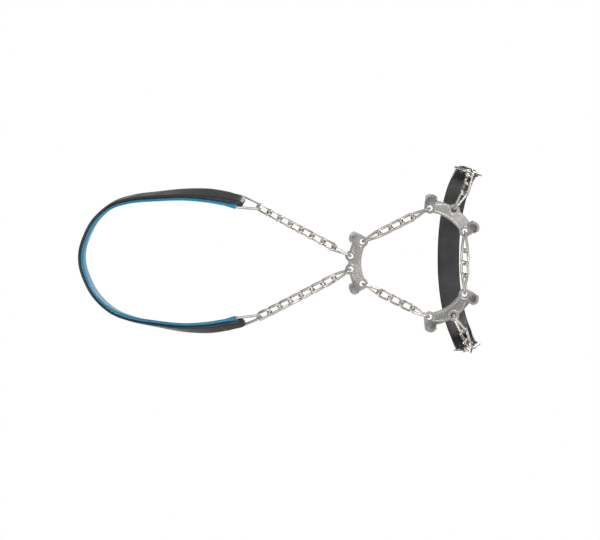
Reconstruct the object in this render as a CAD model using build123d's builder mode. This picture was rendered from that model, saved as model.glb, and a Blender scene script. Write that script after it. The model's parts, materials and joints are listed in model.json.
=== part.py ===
from build123d import *
import math
import os

# Shoe ice cleats for one forefoot, in millimetres.
# X points to the toe, Y to the wearer's left and Z up. The plates' shoe faces lie at z = 0.

# Stamped plates
PLATE_T = 1.5
PANEL_H = 0.4
PANEL_MARGIN = 1.3
INNER_R = 25.0
OUTER_R = 33.0
HOLE_R = 1.7
LOBE_R = 3.5
END_HOLE_ARC = 27.6
END_HOLE_ANGLE = 28.0
OUTER_HOLE_ARC = 31.7
REAR_HOLE_ANGLE = 7.3
FRONT_CENTRE_X = 12.6
FRONT_HEADING = 56.7
TAB_W = 7.0
TAB_REACH = 35.0
TAB_UNPANELLED = 0.9
SPIKE_H = 8.0
SPIKE_SHOULDER = 2.4
SPIKE_CURVE_R = 4.6
SPIKE_T = 1.4
EDGE_R = 0.25

# Chain
WIRE_R = 0.82
GAP = 0.3
LINK_PITCH = 7.6
END_PITCH = 11.8
HALF_WIDTH = 2.8
HOLE_REST = 0.35
CHAIN_Z = -PLATE_T / 2
CURB_TWIST = 45.0
CORNER_SHARE = 0.48

# Chain directions in plan and slopes above the horizontal, in degrees
HEEL_HEADING = 152.1
HEEL_SLOPES = [0, 0, 0, 2, 6, 10, 14, 18]
TOE_HEADINGS = [57, 68, 72, 72.5]
TOE_SLOPES = [8, 28, 49, 71]
TOE_SPINS = [(90.0, 55.0), (-35.0, 60.0), (-30.0, 70.0), (-20.0, 88.0)]

# Bent wire rings
RING_WIRE_R = 0.78
RING_LEG = 13.0
RING_HALF_BASE = 9.0
RING_HALF_TIP = 2.8
RING_TIP_R = 2.6
RING_CORNER_R = 1.3
HEEL_RING_HEADING = 165.0
HEEL_RING_SLOPE = 6.0
HEEL_RING_SPIN = 113.0
TOE_RING_HEADING = -107.5
TOE_RING_SLOPE = 90.0

# Elastomer straps
CORE_T = 1.7
COVER_T = 1.8
CORE_W = 17.0
COVER_W = 14.6
SLEEVE_T = 4.8
SLEEVE_W = 13.6
SLEEVE_NOSE = 3.6
SLEEVE_TAIL = 9.0
SLEEVE_GRIP = 3.0
BORE_R = 1.0
NOSE_ROUNDING = 0.8
HEEL_BACK_X = -206.0
HEEL_BACK_Z = 48.0
HEEL_HALF_W = 36.0
TOE_TOP_Z = 60.0
TOE_MID_X = 31.0
TOE_STRAP_W = 14.0
STRAP_DEPTH = 100.0
HEEL_FLARE_X = 22.0
HEEL_FLARE_Y = 2.5
HEEL_SIDE_R = 60.0
HEEL_CORNER_R = 33.0
HEEL_EASE_X = 25.0
HEEL_EASE_LOW_Z = 4.0
HEEL_EASE_HIGH_Z = 3.0
HEEL_EASE_R = 40.0
TOE_SHOULDER_Y = 6.0
TOE_SHOULDER_Z = 5.0
TOE_CROWN = 1.0
TOE_SHOULDER_R = 16.0
TOE_CROWN_R = 100.0
TOE_BEND_Y = 12.0
TOE_BEND_R = 30.0

REACH = WIRE_R + GAP / 2
SIDES = {"left": 1, "right": -1}


def polar(centre, radius, angle):
    """Point at chain height, at a radius and an angle about a plan centre."""
    turn = math.radians(angle)
    return Vector(centre[0] + radius * math.cos(turn), centre[1] + radius * math.sin(turn), CHAIN_Z)


def heading_vector(heading, slope):
    """Unit vector from its plan heading and its slope above the horizontal."""
    turn = math.radians(heading)
    rise = math.radians(slope)
    return Vector(math.cos(rise) * math.cos(turn), math.cos(rise) * math.sin(turn), math.sin(rise))


def mirrored(point, side):
    """The point on the left side, or its mirror image on the right side."""
    return Vector(point.X, side * point.Y, point.Z)


def run_points(start, steps):
    """Pivot points along a chain from (pitch, heading, slope) steps."""
    points = [start]
    for pitch, heading, slope in steps:
        points.append(points[-1] + heading_vector(heading, slope) * pitch)
    return points


def cross_frame(run, spin):
    """Unit vector square to a run: level at spin 0, upright at spin 90."""
    flat = Vector(0, 0, 1).cross(run).normalized()
    up = run.cross(flat)
    return flat * math.cos(math.radians(spin)) + up * math.sin(math.radians(spin))


def corner_radii(corners, largest):
    """Fillet radii for the inner points of an open run, as large as their runs allow."""
    radii = []
    for before, corner, after in zip(corners, corners[1:], corners[2:]):
        turn = math.radians((corner - before).get_angle(after - corner))
        room = CORNER_SHARE * min(2 * (corner - before).length, 2 * (after - corner).length, HALF_WIDTH * 2)
        radii.append(min(largest, room / math.tan(turn / 2)))
    return radii


def wire_loop(near, far, side_near, side_far, wire_r, radii):
    """Closed loop of round wire, swept as two halves that meet at the middles of its ends."""
    with BuildPart() as loop:
        for way in (1, -1):
            corners = [near, near + side_near * way, far + side_far * way, far]
            with BuildLine() as path:
                FilletPolyline(*corners, radius=radii or corner_radii(corners, HALF_WIDTH))
            wire = path.wire()
            with BuildSketch(Plane(origin=wire @ 0, z_dir=wire % 0)):
                Circle(wire_r)
            sweep(path=wire)
    return loop


def chain_link(name, start, end, back, ahead, spin_start, spin_end):
    """One link from pivot to pivot; back and ahead are how far its ends stand past them."""
    run = (end - start).normalized()
    side_near = cross_frame(run, spin_start) * HALF_WIDTH
    side_far = cross_frame(run, spin_end) * HALF_WIDTH
    near = start - run * back
    far = end + run * ahead
    save(name, wire_loop(near, far, side_near, side_far, WIRE_R, None))


def save(name, piece):
    """Label a finished piece and write it as its own file."""
    piece.part.label = name
    export_step(piece.part, f"parts/{name}.step")


def chain(name, points, side, spins, first_in_hole, last_in_hole):
    """A run of links through the pivot points; spins holds each link's two end angles."""
    for index, (spin_start, spin_end) in enumerate(spins):
        back = -HOLE_REST if first_in_hole and index == 0 else REACH
        ahead = -HOLE_REST if last_in_hole and index == len(spins) - 1 else REACH
        start = mirrored(points[index], side)
        end = mirrored(points[index + 1], side)
        link_name = f"{name}_link_{index + 1}"
        chain_link(link_name, start, end, back, ahead, side * spin_start, side * spin_end)


def spike_plane(centre, angle):
    """Plan plane at an end hole, with its X axis pointing outward along the plate's radius."""
    hole = polar(centre, END_HOLE_ARC, angle)
    outward = Vector(hole.X - centre[0], hole.Y - centre[1], 0)
    return Plane(origin=(hole.X, hole.Y, 0), x_dir=outward, z_dir=(0, 0, 1))


def plate(name, centre, heading, outer_angles):
    """Arc plate with end holes, outer holes in lobes, a raised panel and two claw spikes."""
    end_angles = [heading - END_HOLE_ANGLE, heading + END_HOLE_ANGLE]
    holes = [(END_HOLE_ARC, angle) for angle in end_angles]
    holes += [(OUTER_HOLE_ARC, heading + angle) for angle in outer_angles]
    spots = [polar(centre, radius, angle) for radius, angle in holes]
    spots = [(spot.X, spot.Y) for spot in spots]
    edge = TAB_REACH - END_HOLE_ARC
    with BuildSketch() as outline:
        with Locations(centre):
            Circle(OUTER_R)
            Circle(INNER_R, mode=Mode.SUBTRACT)
        with BuildSketch(mode=Mode.INTERSECT):
            with BuildLine():
                turns = (-END_HOLE_ANGLE, 0, END_HOLE_ANGLE)
                wide = [polar(centre, 2 * OUTER_R, heading + turn) for turn in turns]
                Polyline(centre, *[(spot.X, spot.Y) for spot in wide], close=True)
            make_face()
        with Locations(*spots):
            Circle(LOBE_R)
        for angle in end_angles:
            tab = spike_plane(centre, angle)
            with Locations(tab.location * Pos(edge / 2, 0)):
                Rectangle(edge, TAB_W)
    with BuildPart() as piece:
        with BuildSketch(Plane.XY.offset(-PLATE_T)):
            add(outline.sketch)
        extrude(amount=PLATE_T)
        for angle in end_angles:
            tab = spike_plane(centre, angle)
            bulge = Plane(origin=tab.origin, x_dir=tab.x_dir, z_dir=(0, 0, -1))
            depth = SPIKE_H + PLATE_T
            with BuildSketch(bulge):
                with Locations((edge - SPIKE_CURVE_R + SPIKE_T, 0)):
                    Circle(SPIKE_CURVE_R)
                    Circle(SPIKE_CURVE_R - SPIKE_T, mode=Mode.SUBTRACT)
                with Locations((edge + SPIKE_T - SPIKE_CURVE_R / 2, 0)):
                    Rectangle(SPIKE_CURVE_R, TAB_W, mode=Mode.INTERSECT)
            extrude(amount=depth)
            side_view = Plane(origin=tab.origin, x_dir=tab.y_dir, z_dir=tab.x_dir)
            with BuildSketch(side_view.offset(edge / 3)):
                for way in (-1, 1):
                    with BuildLine():
                        Polyline(
                            (0, -depth),
                            (way * TAB_W, -depth),
                            (way * TAB_W, SPIKE_SHOULDER - depth + TAB_W / 3),
                            (way * TAB_W / 2, SPIKE_SHOULDER - depth),
                            close=True,
                        )
                    make_face()
            extrude(amount=edge, mode=Mode.SUBTRACT)
        with BuildSketch(Plane.XY.offset(-PLATE_T)):
            add(outline.sketch)
            for angle in end_angles:
                tab = spike_plane(centre, angle)
                with Locations(tab.location * Pos(edge, 0)):
                    Rectangle(edge * TAB_UNPANELLED, 2 * TAB_W, mode=Mode.SUBTRACT)
            offset(amount=-PANEL_MARGIN)
            with Locations(*spots):
                Circle(LOBE_R - PANEL_MARGIN / 3, mode=Mode.SUBTRACT)
        extrude(amount=-PANEL_H)
        with Locations(*[(spot[0], spot[1], 0) for spot in spots]):
            Hole(HOLE_R)
    save(name, piece)


def ring(name, contact, leg, base):
    """Delta ring of bent wire: its tip holds a link and its base lies in a strap end."""
    tip = contact - leg * (RING_WIRE_R + GAP / 2)
    foot = contact + leg * RING_LEG
    loop = wire_loop(
        tip, foot, base * RING_HALF_TIP, base * RING_HALF_BASE, RING_WIRE_R, [RING_TIP_R, RING_CORNER_R]
    )
    save(name, loop)


def strap_end(name, foot, leg, base):
    """Moulded sleeve round a ring's base wire, with a rounded nose past the wire."""
    face = Plane(origin=foot, x_dir=leg, z_dir=leg.cross(base))
    with BuildPart() as sleeve:
        with BuildSketch(face.offset(-SLEEVE_T / 2)):
            with Locations(((SLEEVE_TAIL - SLEEVE_NOSE) / 2, 0)):
                RectangleRounded(SLEEVE_NOSE + SLEEVE_TAIL, SLEEVE_W, SLEEVE_NOSE * NOSE_ROUNDING)
        extrude(amount=SLEEVE_T)
        fillet(sleeve.edges().filter_by(GeomType.LINE).group_by(Axis(foot, leg))[-1], EDGE_R)
        with BuildSketch(Plane(origin=foot - base * SLEEVE_W, z_dir=base)):
            Circle(BORE_R)
        extrude(amount=2 * SLEEVE_W, mode=Mode.SUBTRACT)
    save(name, sleeve)


def strap_layer(name, path_plane, path, thickness, outward, band):
    """One layer of a strap: the path thickened to one side, cut to the band's outline."""
    with BuildPart() as layer:
        with BuildSketch(path_plane):
            with BuildLine():
                add(path)
                offset(amount=thickness, side=outward)
            make_face()
        extrude(amount=STRAP_DEPTH, both=True)
        extrude(to_extrude=band, amount=STRAP_DEPTH, both=True, mode=Mode.INTERSECT)
    save(name, layer)


os.makedirs("parts", exist_ok=True)

# Plates: the front plates' spacing comes from the cross chain, the rear plate's from the ring chain
cross_run = 2 * END_PITCH + 2 * LINK_PITCH
ring_run = 2 * END_PITCH + 3 * LINK_PITCH
inner_turn = math.radians(FRONT_HEADING - END_HOLE_ANGLE)
front_centre = (FRONT_CENTRE_X, cross_run / 2 - END_HOLE_ARC * math.sin(inner_turn))
front_back_hole = polar(front_centre, END_HOLE_ARC, FRONT_HEADING + END_HOLE_ANGLE)
front_cross_hole = polar(front_centre, END_HOLE_ARC, FRONT_HEADING - END_HOLE_ANGLE)
front_toe_hole = polar(front_centre, OUTER_HOLE_ARC, FRONT_HEADING)
rear_hole_y = END_HOLE_ARC * math.sin(math.radians(END_HOLE_ANGLE))
ring_rise = front_back_hole.Y - rear_hole_y
ring_dx = math.sqrt(ring_run**2 - ring_rise**2)
rear_centre = (
    front_back_hole.X - ring_dx + END_HOLE_ARC * math.cos(math.radians(END_HOLE_ANGLE)),
    0.0,
)
rear_ring_hole = polar(rear_centre, END_HOLE_ARC, 180 - END_HOLE_ANGLE)
rear_heel_hole = polar(rear_centre, OUTER_HOLE_ARC, 180 - REAR_HOLE_ANGLE)

plate("rear_plate", rear_centre, 180.0, [-REAR_HOLE_ANGLE, REAR_HOLE_ANGLE])
for hand, side in SIDES.items():
    plate(f"front_plate_{hand}", (front_centre[0], side * front_centre[1]), side * FRONT_HEADING, [0.0])

# Chain routes on the left side, as pivot points
ring_heading = math.degrees(math.atan2(ring_rise, ring_dx))
heel_pitches = [END_PITCH] + [LINK_PITCH] * 7
heel_steps = [(pitch, HEEL_HEADING, slope) for pitch, slope in zip(heel_pitches, HEEL_SLOPES)]
heel_points = run_points(rear_heel_hole, heel_steps)
ring_pitches = [END_PITCH] + [LINK_PITCH] * 3 + [END_PITCH]
ring_points = run_points(rear_ring_hole, [(pitch, ring_heading, 0) for pitch in ring_pitches])
toe_pitches = [END_PITCH] + [LINK_PITCH] * 3
toe_points = run_points(front_toe_hole, list(zip(toe_pitches, TOE_HEADINGS, TOE_SLOPES)))
cross_pitches = [END_PITCH, LINK_PITCH, LINK_PITCH, END_PITCH]
cross_points = run_points(front_cross_hole, [(pitch, -90, 0) for pitch in cross_pitches])

CURB = (-CURB_TWIST, CURB_TWIST)
LEAVING = (90.0, CURB_TWIST)
ARRIVING = (-CURB_TWIST, -90.0)
for hand, side in SIDES.items():
    chain(f"heel_chain_{hand}", heel_points, side, [LEAVING] + [CURB] * 7, True, False)
    chain(f"ring_chain_{hand}", ring_points, side, [LEAVING] + [CURB] * 3 + [ARRIVING], True, True)
    chain(f"toe_chain_{hand}", toe_points, side, TOE_SPINS, True, False)
chain("cross_chain", cross_points, 1, [LEAVING, CURB, CURB, ARRIVING], True, True)

# Rings and the moulded strap ends on their base wires
heel_leg = heading_vector(HEEL_RING_HEADING, HEEL_RING_SLOPE)
heel_base = cross_frame(heel_leg, HEEL_RING_SPIN)
toe_base = heading_vector(TOE_RING_HEADING + 90, 0)
toe_leg = heading_vector(TOE_RING_HEADING, TOE_RING_SLOPE)
heel_foot = heel_points[-1] + heel_leg * RING_LEG
toe_foot = toe_points[-1] + toe_leg * RING_LEG
for hand, side in SIDES.items():
    for end, points, leg, base, foot in (
        ("heel", heel_points, heel_leg, heel_base, heel_foot),
        ("toe", toe_points, toe_leg, toe_base, toe_foot),
    ):
        ring(f"{end}_ring_{hand}", mirrored(points[-1], side), mirrored(leg, side), mirrored(base, side))
        strap_end(f"{end}_strap_end_{hand}", mirrored(foot, side), mirrored(leg, side), mirrored(base, side))

# Heel strap: a U round the heel, sloping up to its back
heel_start = heel_foot + heel_leg * (SLEEVE_TAIL - SLEEVE_GRIP)
with BuildLine() as heel_path:
    FilletPolyline(
        (heel_start.X, heel_start.Y),
        (heel_start.X - HEEL_FLARE_X, heel_start.Y + HEEL_FLARE_Y),
        (HEEL_BACK_X, HEEL_HALF_W),
        (HEEL_BACK_X, -HEEL_HALF_W),
        (heel_start.X - HEEL_FLARE_X, -heel_start.Y - HEEL_FLARE_Y),
        (heel_start.X, -heel_start.Y),
        radius=[HEEL_SIDE_R, HEEL_CORNER_R, HEEL_CORNER_R, HEEL_SIDE_R],
    )


def heel_band(width):
    """Side view of the heel strap: a sloping band, level at both of its ends."""
    middle = [
        (heel_start.X, heel_start.Z),
        (heel_start.X - HEEL_EASE_X, heel_start.Z + HEEL_EASE_LOW_Z),
        (HEEL_BACK_X + HEEL_EASE_X, HEEL_BACK_Z - HEEL_EASE_HIGH_Z),
        (HEEL_BACK_X - 2 * CORE_T, HEEL_BACK_Z),
    ]
    with BuildSketch(Plane.XZ) as view:
        with BuildLine():
            low = FilletPolyline(*[(x, z - width / 2) for x, z in middle], radius=HEEL_EASE_R)
            high = FilletPolyline(*[(x, z + width / 2) for x, z in middle], radius=HEEL_EASE_R)
            Line(low @ 0, high @ 0)
            Line(low @ 1, high @ 1)
        make_face()
    return view.sketch


# Toe strap: an arch over the toe box, its middle set back towards the instep
toe_start = toe_foot + toe_leg * (SLEEVE_TAIL - SLEEVE_GRIP)
with BuildLine() as toe_path:
    FilletPolyline(
        (toe_start.Y, toe_start.Z),
        (toe_start.Y - TOE_SHOULDER_Y, TOE_TOP_Z - TOE_SHOULDER_Z),
        (0, TOE_TOP_Z + TOE_CROWN),
        (TOE_SHOULDER_Y - toe_start.Y, TOE_TOP_Z - TOE_SHOULDER_Z),
        (-toe_start.Y, toe_start.Z),
        radius=[TOE_SHOULDER_R, TOE_CROWN_R, TOE_SHOULDER_R],
    )


def toe_band(width):
    """Plan view of the toe strap: a band of even width that bends back at its middle."""
    reach = toe_start.Y + 2 * COVER_T
    with BuildSketch(Plane.XY) as view:
        with BuildLine():
            FilletPolyline(
                (toe_start.X + TOE_CROWN, reach),
                (TOE_MID_X, TOE_BEND_Y),
                (TOE_MID_X, -TOE_BEND_Y),
                (toe_start.X + TOE_CROWN, -reach),
                radius=TOE_BEND_R,
            )
        trace(line_width=width)
    return view.sketch


LAYERS = (("core", CORE_T, 1, 0.0), ("cover", COVER_T, -1, CORE_W - COVER_W))
for layer, thickness, way, trim in LAYERS:
    heel_side = Side.RIGHT if way > 0 else Side.LEFT
    toe_side = Side.LEFT if way > 0 else Side.RIGHT
    heel_outline = heel_band(CORE_W - trim)
    toe_outline = toe_band(TOE_STRAP_W - trim)
    strap_layer(f"heel_strap_{layer}", Plane.XY, heel_path.line, thickness, heel_side, heel_outline)
    strap_layer(f"toe_strap_{layer}", Plane.YZ, toe_path.line, thickness, toe_side, toe_outline)
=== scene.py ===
import json
import math

import bmesh
import bpy
from mathutils import Matrix, Vector


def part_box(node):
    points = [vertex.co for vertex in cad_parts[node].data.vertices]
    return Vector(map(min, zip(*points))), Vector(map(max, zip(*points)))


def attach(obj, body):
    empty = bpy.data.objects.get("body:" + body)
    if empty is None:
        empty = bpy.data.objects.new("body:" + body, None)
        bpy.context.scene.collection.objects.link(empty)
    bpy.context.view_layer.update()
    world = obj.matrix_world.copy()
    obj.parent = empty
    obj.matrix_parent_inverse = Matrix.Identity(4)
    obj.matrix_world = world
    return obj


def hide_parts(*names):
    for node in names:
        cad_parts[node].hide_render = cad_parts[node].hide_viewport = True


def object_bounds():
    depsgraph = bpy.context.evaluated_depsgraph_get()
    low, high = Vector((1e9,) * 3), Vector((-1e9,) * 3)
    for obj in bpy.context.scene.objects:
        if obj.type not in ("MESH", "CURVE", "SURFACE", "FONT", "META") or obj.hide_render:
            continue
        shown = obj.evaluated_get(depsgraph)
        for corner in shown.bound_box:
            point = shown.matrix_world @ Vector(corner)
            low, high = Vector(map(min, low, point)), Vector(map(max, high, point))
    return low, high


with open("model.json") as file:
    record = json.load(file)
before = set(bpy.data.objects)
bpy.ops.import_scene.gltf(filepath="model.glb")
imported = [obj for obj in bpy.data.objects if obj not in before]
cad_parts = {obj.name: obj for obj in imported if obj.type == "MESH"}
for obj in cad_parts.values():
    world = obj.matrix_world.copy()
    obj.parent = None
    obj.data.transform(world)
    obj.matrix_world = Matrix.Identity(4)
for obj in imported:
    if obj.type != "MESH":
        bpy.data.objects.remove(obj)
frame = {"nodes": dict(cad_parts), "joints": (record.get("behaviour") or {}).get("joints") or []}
cad_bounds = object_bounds()

MM = 0.001
JOINTS = {joint["name"]: joint for joint in frame["joints"]}
UP = Vector((0, 0, 1))


# ---------------------------------------------------------------- materials

def new_material(name):
    """A node material: returns it, its node tree and its shader."""
    material = bpy.data.materials.new(name)
    material.use_nodes = True
    tree = material.node_tree
    shader = tree.nodes["Principled BSDF"]
    return material, tree, shader


def object_noise(tree, scale, detail, stretch=(1, 1, 1)):
    """Noise in the object's own coordinates, in metres, stretched along its axes."""
    place = tree.nodes.new("ShaderNodeTexCoord")
    mapping = tree.nodes.new("ShaderNodeMapping")
    mapping.inputs["Scale"].default_value = stretch
    noise = tree.nodes.new("ShaderNodeTexNoise")
    noise.inputs["Scale"].default_value = scale
    noise.inputs["Detail"].default_value = detail
    tree.links.new(place.outputs["Object"], mapping.inputs["Vector"])
    tree.links.new(mapping.outputs["Vector"], noise.inputs["Vector"])
    return noise.outputs["Fac"]


def ramp(tree, value, low, high, low_at=0.35, high_at=0.65):
    """A value spread between two greys or colours."""
    node = tree.nodes.new("ShaderNodeValToRGB")
    for element, place, colour in zip(node.color_ramp.elements, (low_at, high_at), (low, high)):
        element.position = place
        element.color = colour if isinstance(colour, tuple) else (colour, colour, colour, 1)
    tree.links.new(value, node.inputs["Fac"])
    return node.outputs["Color"]


def bump(tree, shader, heights):
    """Bumps laid one on another, from (height, distance in metres, strength)."""
    last = None
    for height, distance, strength in heights:
        node = tree.nodes.new("ShaderNodeBump")
        node.inputs["Distance"].default_value = distance
        node.inputs["Strength"].default_value = strength
        tree.links.new(height, node.inputs["Height"])
        if last:
            tree.links.new(last, node.inputs["Normal"])
        last = node.outputs["Normal"]
    tree.links.new(last, shader.inputs["Normal"])


def steel(name, dark, light, rough, brushed, bump_depth):
    """Worn stainless steel: patchy tone and polish, fine scratches and small dents."""
    material, tree, shader = new_material(name)
    shader.inputs["Metallic"].default_value = 1.0
    patches = object_noise(tree, 180, 6)
    scratches = object_noise(tree, 700, 4, brushed)
    dents = object_noise(tree, 420, 3)
    tree.links.new(ramp(tree, patches, dark, light), shader.inputs["Base Color"])
    tree.links.new(ramp(tree, scratches, *rough, 0.3, 0.7), shader.inputs["Roughness"])
    bump(tree, shader, [(dents, bump_depth, 0.35), (scratches, bump_depth * 0.4, 0.3)])
    return material


def elastomer(name, dark, light, rough, coat):
    """Moulded elastomer: even colour with scuffs, a fine leathery skin and a soft shine."""
    material, tree, shader = new_material(name)
    scuffs = object_noise(tree, 130, 7)
    skin = object_noise(tree, 1500, 3)
    wave = object_noise(tree, 60, 2)
    shader.inputs["Coat Weight"].default_value = coat
    shader.inputs["Coat Roughness"].default_value = 0.3
    tree.links.new(ramp(tree, scuffs, dark, light, 0.4, 0.75), shader.inputs["Base Color"])
    tree.links.new(ramp(tree, scuffs, *rough), shader.inputs["Roughness"])
    bump(tree, shader, [(wave, 0.0006, 0.25), (skin, 0.00008, 0.5)])
    return material


PLATE_STEEL = steel("plate_steel", (0.5, 0.485, 0.47, 1), (0.6, 0.59, 0.575, 1), (0.2, 0.36), (2, 12, 2), 0.00006)
# The bead steel is the plate steel painted lighter: its paler colour is a painted highlight along the raised ridges,
# while its lower roughness gives a real shine.
BEAD_PAINTED_HIGHLIGHT_STEEL = steel("bead_painted_highlight_steel", (0.66, 0.645, 0.62, 1), (0.78, 0.765, 0.74, 1), (0.14, 0.26), (2, 12, 2), 0.00003)
CHAIN_STEEL = steel("chain_steel", (0.55, 0.52, 0.48, 1), (0.78, 0.75, 0.71, 1), (0.16, 0.3), (3, 3, 3), 0.00002)
RING_STEEL = steel("ring_steel", (0.58, 0.56, 0.53, 1), (0.78, 0.76, 0.73, 1), (0.14, 0.26), (4, 1, 4), 0.000015)
BLACK_RUBBER = elastomer("black_elastomer", (0.012, 0.012, 0.014, 1), (0.026, 0.026, 0.03, 1), (0.36, 0.52), 0.12)
BLUE_RUBBER = elastomer("blue_elastomer", (0.004, 0.17, 0.3, 1), (0.007, 0.21, 0.36, 1), (0.3, 0.42), 0.25)


def paint(thing, material):
    """Give a mesh one material."""
    thing.data.materials.clear()
    thing.data.materials.append(material)


for node_name, thing in frame["nodes"].items():
    if "plate" in node_name:
        paint(thing, PLATE_STEEL)
    elif "link" in node_name:
        paint(thing, CHAIN_STEEL)
    elif "ring" in node_name:
        paint(thing, RING_STEEL)


# ---------------------------------------------------------------- raised beads on the plates

PANEL_Z = -1.9 * MM
BEAD_R = 0.42 * MM


def panel_loops(thing):
    """Closed outlines of a plate's raised panel, as lists of points in world space."""
    corners = [thing.matrix_world @ vertex.co for vertex in thing.data.vertices]
    keys = [tuple(round(value * 1e6) for value in corner) for corner in corners]
    places = dict(zip(keys, corners))
    counts = {}
    for face in thing.data.polygons:
        ring = [keys[index] for index in face.vertices]
        if all(abs(places[key].z - PANEL_Z) < 0.02 * MM for key in ring):
            for first, second in zip(ring, ring[1:] + ring[:1]):
                if first != second:
                    edge = (min(first, second), max(first, second))
                    counts[edge] = counts.get(edge, 0) + 1
    links = {}
    for (first, second), count in counts.items():
        if count == 1:
            links.setdefault(first, []).append(second)
            links.setdefault(second, []).append(first)
    loops = []
    while links:
        start = min(links)
        loop = [start]
        here = start
        while True:
            ahead = [key for key in links.get(here, []) if key not in loop[-2:]]
            following = links.pop(here, [])
            if not ahead or ahead[0] == start:
                break
            here = ahead[0]
            if here in loop:
                break
            loop.append(here)
        if len(loop) > 8:
            loops.append([places[key] for key in loop])
    return loops


def even_loop(points, gap):
    """A closed loop's points spaced evenly, its corners softened."""
    total = 0.0
    marks = [0.0]
    closed = points + points[:1]
    for first, second in zip(closed, closed[1:]):
        total += (second - first).length
        marks.append(total)
    count = max(12, round(total / gap))
    out = []
    place = 0
    for step in range(count):
        want = total * step / count
        while marks[place + 1] < want:
            place += 1
        share = (want - marks[place]) / max(marks[place + 1] - marks[place], 1e-12)
        out.append(closed[place].lerp(closed[place + 1], share))
    for _ in range(2):
        out = [(out[k - 1] + out[k] * 2 + out[(k + 1) % count]) / 4 for k in range(count)]
    return out


def bead_mesh(name, loops, sides=8):
    """Round bead along closed level loops."""
    mesh = bpy.data.meshes.new(name)
    work = bmesh.new()
    for loop in loops:
        points = even_loop(loop, 0.45 * MM)
        rings = []
        for index, point in enumerate(points):
            along = (points[(index + 1) % len(points)] - points[index - 1]).normalized()
            out = along.cross(UP).normalized()
            ring = []
            for side in range(sides):
                turn = 2 * math.pi * side / sides
                offset = out * math.cos(turn) * BEAD_R * 1.2 + UP * math.sin(turn) * BEAD_R
                ring.append(work.verts.new(point + offset))
            rings.append(ring)
        for index, ring in enumerate(rings):
            after = rings[(index + 1) % len(rings)]
            for k in range(sides):
                work.faces.new((ring[k], after[k], after[(k + 1) % sides], ring[(k + 1) % sides]))
    bmesh.ops.recalc_face_normals(work, faces=work.faces)
    work.to_mesh(mesh)
    work.free()
    for face in mesh.polygons:
        face.use_smooth = True
    thing = bpy.data.objects.new(name, mesh)
    bpy.context.scene.collection.objects.link(thing)
    return thing


for plate_name in ("rear_plate", "front_plate_left", "front_plate_right"):
    outlines = panel_loops(frame["nodes"][plate_name])
    bead = bead_mesh(f"{plate_name}_bead", outlines)
    # The beads get the lighter steel, a painted highlight on the ridges of the plate they ride on.
    paint(bead, BEAD_PAINTED_HIGHLIGHT_STEEL)
    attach(bead, plate_name)


# ---------------------------------------------------------------- straps

def smooth_route(points, steps):
    """Points along a smooth curve through the given points, in equal steps of each stretch."""
    out = []
    for index in range(len(points) - 1):
        before = points[max(index - 1, 0)]
        start, end = points[index], points[index + 1]
        after = points[min(index + 2, len(points) - 1)]
        for step in range(steps):
            t = step / steps
            out.append(0.5 * (
                2 * start
                + (end - before) * t
                + (2 * before - 5 * start + 4 * end - after) * t ** 2
                + (3 * start - before - 3 * end + after) * t ** 3
            ))
    out.append(points[-1].copy())
    return out


def rounded_section(half_w, low, high, radius, per_corner=5):
    """Outline of a strap's cross-section: a rectangle with rounded corners and a slight crown."""
    radius = min(radius, (high - low) / 2 * 0.98)
    middle = (high + low) / 2
    half_t = (high - low) / 2
    points = []
    corners = ((1, 1, 0), (-1, 1, 90), (-1, -1, 180), (1, -1, 270))
    for side_w, side_t, start in corners:
        for step in range(per_corner + 1):
            turn = math.radians(start + 90 * step / per_corner)
            points.append((
                side_w * (half_w - radius) + radius * math.cos(turn),
                middle + side_t * (half_t - radius) + radius * math.sin(turn),
            ))
        if side_t > 0 and side_w > 0:
            points += [(half_w * share, high + 0.04 * half_t) for share in (0.6, 0.3, 0, -0.3, -0.6)]
        if side_t < 0 and side_w < 0:
            points += [(half_w * share, low) for share in (-0.6, -0.3, 0, 0.3, 0.6)]
    return points


def loft(name, frames, section_at):
    """Closed mesh lofted through cross-sections given by station index."""
    mesh = bpy.data.meshes.new(name)
    work = bmesh.new()
    rings = []
    for index, (point, across, normal) in enumerate(frames):
        ring = [work.verts.new(point + across * w + normal * n) for w, n in section_at(index)]
        rings.append(ring)
    count = len(rings[0])
    for ring, after in zip(rings, rings[1:]):
        for k in range(count):
            work.faces.new((ring[k], ring[(k + 1) % count], after[(k + 1) % count], after[k]))
    work.faces.new(rings[0])
    work.faces.new(rings[-1])
    bmesh.ops.recalc_face_normals(work, faces=work.faces)
    work.to_mesh(mesh)
    work.free()
    for face in mesh.polygons:
        face.use_smooth = True
    thing = bpy.data.objects.new(name, mesh)
    bpy.context.scene.collection.objects.link(thing)
    return thing


def finish_piece(thing, material, body, node):
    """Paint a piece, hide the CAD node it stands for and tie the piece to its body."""
    paint(thing, material)
    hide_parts(node)
    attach(thing, body)


def ring_frame(swivel, contact):
    """A left ring's base wire: its middle, its direction and the way the strap leaves it."""
    foot = Vector(JOINTS[swivel]["pos_m"])
    base = Vector(JOINTS[swivel]["axis"]).normalized()
    leg = (foot - Vector(JOINTS[contact]["pos_m"])).normalized()
    return foot, base, leg


def flipped(vector):
    """Mirror image across the middle plane."""
    return Vector((vector.x, -vector.y, vector.z))


CORE_T = 1.7 * MM
COVER_T = 1.8 * MM
NOSE = 3.4 * MM
SLEEVE_TAIL = 9.0 * MM


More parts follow.
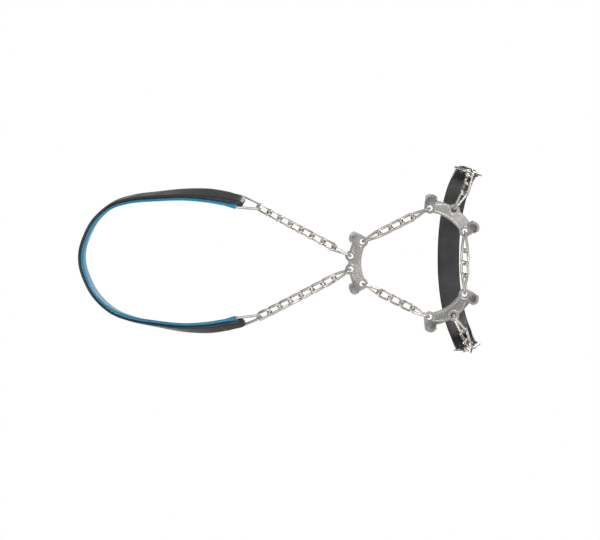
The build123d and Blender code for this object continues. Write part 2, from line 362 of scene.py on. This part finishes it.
def strap(kind, foot, base, leg, half_route, half_up, core_half, cover_half, core_look, steps=7):
    """A whole strap on its two rings: blue core, black cover and a moulded end on each side."""
    up_sign = 1 if base.cross(leg).dot(foot - Vector((foot.x, 0, foot.z))) > 0 else -1
    left = [foot + leg * share * SLEEVE_TAIL for share in (0.0, 0.45, 0.9)] + half_route
    ups = [base] * 3 + half_up
    route = left + [flipped(point) for point in reversed(left[:-1])]
    widths = ups + [flipped(up) for up in reversed(ups[:-1])]
    line = smooth_route(route, steps)
    up_line = smooth_route(widths, steps)
    frames = []
    last = len(line) - 1
    for index, point in enumerate(line):
        tangent = (line[min(index + 1, last)] - line[max(index - 1, 0)]).normalized()
        across = up_line[index]
        across = (across - tangent * across.dot(tangent)).normalized()
        normal = across.cross(tangent).normalized() * up_sign
        frames.append((point, across, normal))
    body = f"{kind}_strap"

    def core_section(index):
        """Core: round the wire at its ends, flat against the shoe elsewhere."""
        near_end = min(index, last - index) / steps
        swell = max(0.0, 1 - near_end / 1.5)
        return rounded_section(core_half, -CORE_T - 0.2 * MM * swell, 1.2 * MM * swell, 0.8 * MM)

    def cover_section(index):
        """Cover: an even band that thins a little at its ends, under the moulded sleeves."""
        near_end = min(index, last - index) / steps
        share = min(1.0, 0.82 + 0.06 * near_end)
        return rounded_section(cover_half * share, 0.02 * MM, COVER_T, 0.8 * MM)

    core = loft(f"{kind}_strap_core_moulding", frames, core_section)
    finish_piece(core, core_look[0], body, f"{kind}_strap_core")
    cover_name = f"{kind}_strap_cover_moulding"
    cover = loft(cover_name, frames[steps:-steps], lambda index: cover_section(index + steps))
    finish_piece(cover, BLACK_RUBBER, body, f"{kind}_strap_cover")
    for hand, turn in (("left", lambda vector: vector), ("right", flipped)):
        profile = (
            (-NOSE, 0.50, 0.25), (-NOSE * 0.93, 0.62, 0.55), (-NOSE * 0.75, 0.72, 0.82), (-NOSE * 0.4, 0.8, 1.0),
            (0, 0.84, 1.06), (0.3 * SLEEVE_TAIL, 0.85, 1.0), (0.6 * SLEEVE_TAIL, 0.86, 0.92),
            (0.95 * SLEEVE_TAIL, 0.88, 0.87), (1.12 * SLEEVE_TAIL, 0.88, 0.83), (1.2 * SLEEVE_TAIL, 0.85, 0.7),
        )
        out = base.cross(leg).normalized() * up_sign
        spots = [(turn(foot + leg * place), turn(base), turn(out)) for place, _, _ in profile]

        def sleeve_section(index):
            """Moulded end: a rounded lump that thins to the strap."""
            _, wide, thick = profile[index]
            return rounded_section(cover_half * wide, -2.1 * MM * thick, 2.35 * MM * thick, 1.5 * MM, 6)

        sleeve = loft(f"{kind}_strap_end_moulding_{hand}", spots, sleeve_section)
        soften = sleeve.modifiers.new("round", "SUBSURF")
        soften.levels = 1
        soften.render_levels = 2
        finish_piece(sleeve, BLACK_RUBBER, body, f"{kind}_strap_end_{hand}")


heel_low, heel_high = (Vector(corner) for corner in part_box("heel_strap_core"))
heel_foot, heel_base, heel_leg = ring_frame("heel_ring_swivel", "heel_strap_swing")
back_x = heel_low.x + COVER_T + 1.2 * MM
back_z = heel_high.z - 9.0 * MM
start = heel_foot + heel_leg * SLEEVE_TAIL
run = start.x - back_x
half_y = start.y


def heel_point(share, side_y, rise):
    """Point on the left half of the heel strap, by its share of the way to the back."""
    return Vector((start.x - run * share, side_y, start.z + (back_z - start.z) * rise))


heel_route = [
    heel_point(0.12, half_y + 1.6 * MM, 0.03),
    heel_point(0.28, half_y + 2.0 * MM, 0.13),
    heel_point(0.46, half_y + 0.6 * MM, 0.36),
    heel_point(0.64, half_y - 1.6 * MM, 0.64),
    heel_point(0.79, half_y - 6.4 * MM, 0.86),
    heel_point(0.91, half_y - 16.5 * MM, 0.965),
    heel_point(0.98, half_y - 29.5 * MM, 0.995),
    heel_point(1.0, 0.0, 1.0),
]
heel_up = []
for lean in (0.95, 0.7, 0.45, 0.3, 0.2, 0.1, 0.05, 0.0):
    heel_up.append((UP * (1 - lean) + heel_base * lean).normalized())
strap("heel", heel_foot, heel_base, heel_leg, heel_route, heel_up, 8.5 * MM, 7.3 * MM, (BLUE_RUBBER, "blue_elastomer"))

toe_low, toe_high = (Vector(corner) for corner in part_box("toe_strap_core"))
toe_foot, toe_base, toe_leg = ring_frame("toe_ring_swivel", "toe_strap_swing")
top_z = toe_high.z - 0.6 * MM
toe_start = toe_foot + toe_leg * SLEEVE_TAIL
TOE_SETBACK = 5.0 * MM
mid_x = (toe_low.x + toe_high.x) / 2 - TOE_SETBACK
toe_route = []
toe_up = []
TOE_ARCH = ((0.97, 0.3, 0.05), (0.9, 0.66, 0.18), (0.74, 0.86, 0.5), (0.5, 0.94, 0.8), (0.25, 0.985, 0.96), (0, 1, 1))
for share_y, share_z, share_x in TOE_ARCH:
    toe_route.append(Vector((
        toe_start.x + (mid_x - toe_start.x) * share_x,
        toe_start.y * share_y,
        toe_start.z + (top_z - toe_start.z) * share_z,
    )))
    toe_up.append((toe_base * (1 - share_x) + Vector((1, 0, 0)) * share_x).normalized())
strap("toe", toe_foot, toe_base, toe_leg, toe_route, toe_up, 7.0 * MM, 5.9 * MM, (BLACK_RUBBER, "black_elastomer"))


# ---------------------------------------------------------------- stage, lights and camera

lowest = Vector(cad_bounds[0]).z

floor_mesh = bpy.data.meshes.new("floor")
FLOOR_HALF = 3.0
floor_z = lowest - 0.5 * MM
corners = [(x * FLOOR_HALF, y * FLOOR_HALF, floor_z) for x, y in ((-1, -1), (1, -1), (1, 1), (-1, 1))]
floor_mesh.from_pydata(corners, [], [(0, 1, 2, 3)])
floor = bpy.data.objects.new("floor", floor_mesh)
bpy.context.scene.collection.objects.link(floor)
floor_paint, tree, shader = new_material("pale_floor")
shader.inputs["Base Color"].default_value = (0.86, 0.86, 0.86, 1)
shader.inputs["Roughness"].default_value = 0.7
side = tree.nodes.new("ShaderNodeNewGeometry")
clear = tree.nodes.new("ShaderNodeBsdfTransparent")
mix = tree.nodes.new("ShaderNodeMixShader")
tree.links.new(side.outputs["Backfacing"], mix.inputs["Fac"])
tree.links.new(shader.outputs["BSDF"], mix.inputs[1])
tree.links.new(clear.outputs["BSDF"], mix.inputs[2])
tree.links.new(mix.outputs["Shader"], tree.nodes["Material Output"].inputs["Surface"])
floor.data.materials.append(floor_paint)
floor.visible_shadow = False

world = bpy.data.worlds.new("studio")
bpy.context.scene.world = world
world.use_nodes = True
tree = world.node_tree
room = tree.nodes["Background"]
room.inputs["Strength"].default_value = 1.0
heading = tree.nodes.new("ShaderNodeTexCoord")
split = tree.nodes.new("ShaderNodeSeparateXYZ")
spread = tree.nodes.new("ShaderNodeMapRange")
spread.inputs["From Min"].default_value = -1
shades = tree.nodes.new("ShaderNodeValToRGB")
tree.links.new(heading.outputs["Generated"], split.inputs["Vector"])
tree.links.new(split.outputs["Z"], spread.inputs["Value"])
tree.links.new(spread.outputs["Result"], shades.inputs["Fac"])
tree.links.new(shades.outputs["Color"], room.inputs["Color"])
SKY = ((0.0, 0.7), (0.06, 0.62), (0.2, 0.1), (0.55, 0.02), (0.85, 0.25), (1.0, 0.7))
while len(shades.color_ramp.elements) < len(SKY):
    shades.color_ramp.elements.new(1.0)
for element, (place, grey) in zip(shades.color_ramp.elements, SKY):
    element.position = place
    element.color = (grey, grey * 0.985, grey * 0.96, 1)
paper = tree.nodes.new("ShaderNodeBackground")
paper.inputs["Color"].default_value = (1, 1, 1, 1)
paper.inputs["Strength"].default_value = 1.0
path = tree.nodes.new("ShaderNodeLightPath")
mix = tree.nodes.new("ShaderNodeMixShader")
tree.links.new(path.outputs["Is Camera Ray"], mix.inputs["Fac"])
tree.links.new(room.outputs["Background"], mix.inputs[1])
tree.links.new(paper.outputs["Background"], mix.inputs[2])
tree.links.new(mix.outputs["Shader"], tree.nodes["World Output"].inputs["Surface"])


def soft_light(name, place, size, power, target=(-0.06, 0, 0.01)):
    """A square area light that faces the object."""
    lamp = bpy.data.lights.new(name, "AREA")
    lamp.size = size
    lamp.energy = power
    thing = bpy.data.objects.new(name, lamp)
    thing.location = place
    thing.rotation_euler = (Vector(target) - Vector(place)).to_track_quat("-Z", "Y").to_euler()
    bpy.context.scene.collection.objects.link(thing)


soft_light("under_key", (0.25, -0.5, -0.85), 0.3, 4)
soft_light("under_fill", (-0.2, 0.65, -0.7), 0.25, 2)
soft_light("top_key", (0.5, -0.6, 0.9), 0.6, 9)
soft_light("top_fill", (-0.7, 0.6, 0.7), 0.5, 5)

CAMERA_DISTANCE = 1.2
FRAME_WIDTH = 0.3704
TILT = math.radians(4)
aim = Vector((-0.0648, 0.0046, 0.0))
camera_data = bpy.data.cameras.new("camera")
camera_data.sensor_width = 36
camera_data.lens = 36 * CAMERA_DISTANCE / FRAME_WIDTH
camera_data.clip_start = 0.01
camera = bpy.data.objects.new("camera", camera_data)
sight = Vector((0, math.sin(TILT), math.cos(TILT)))
camera.location = aim - sight * CAMERA_DISTANCE
camera.rotation_mode = "QUATERNION"
right = Vector((1, 0, 0))
image_up = Vector((0, -math.cos(TILT), math.sin(TILT)))
turn = Matrix((right, image_up, -sight)).transposed()
camera.rotation_quaternion = turn.to_quaternion()
bpy.context.scene.collection.objects.link(camera)
bpy.context.scene.camera = camera
bpy.context.scene.view_settings.view_transform = "Standard"
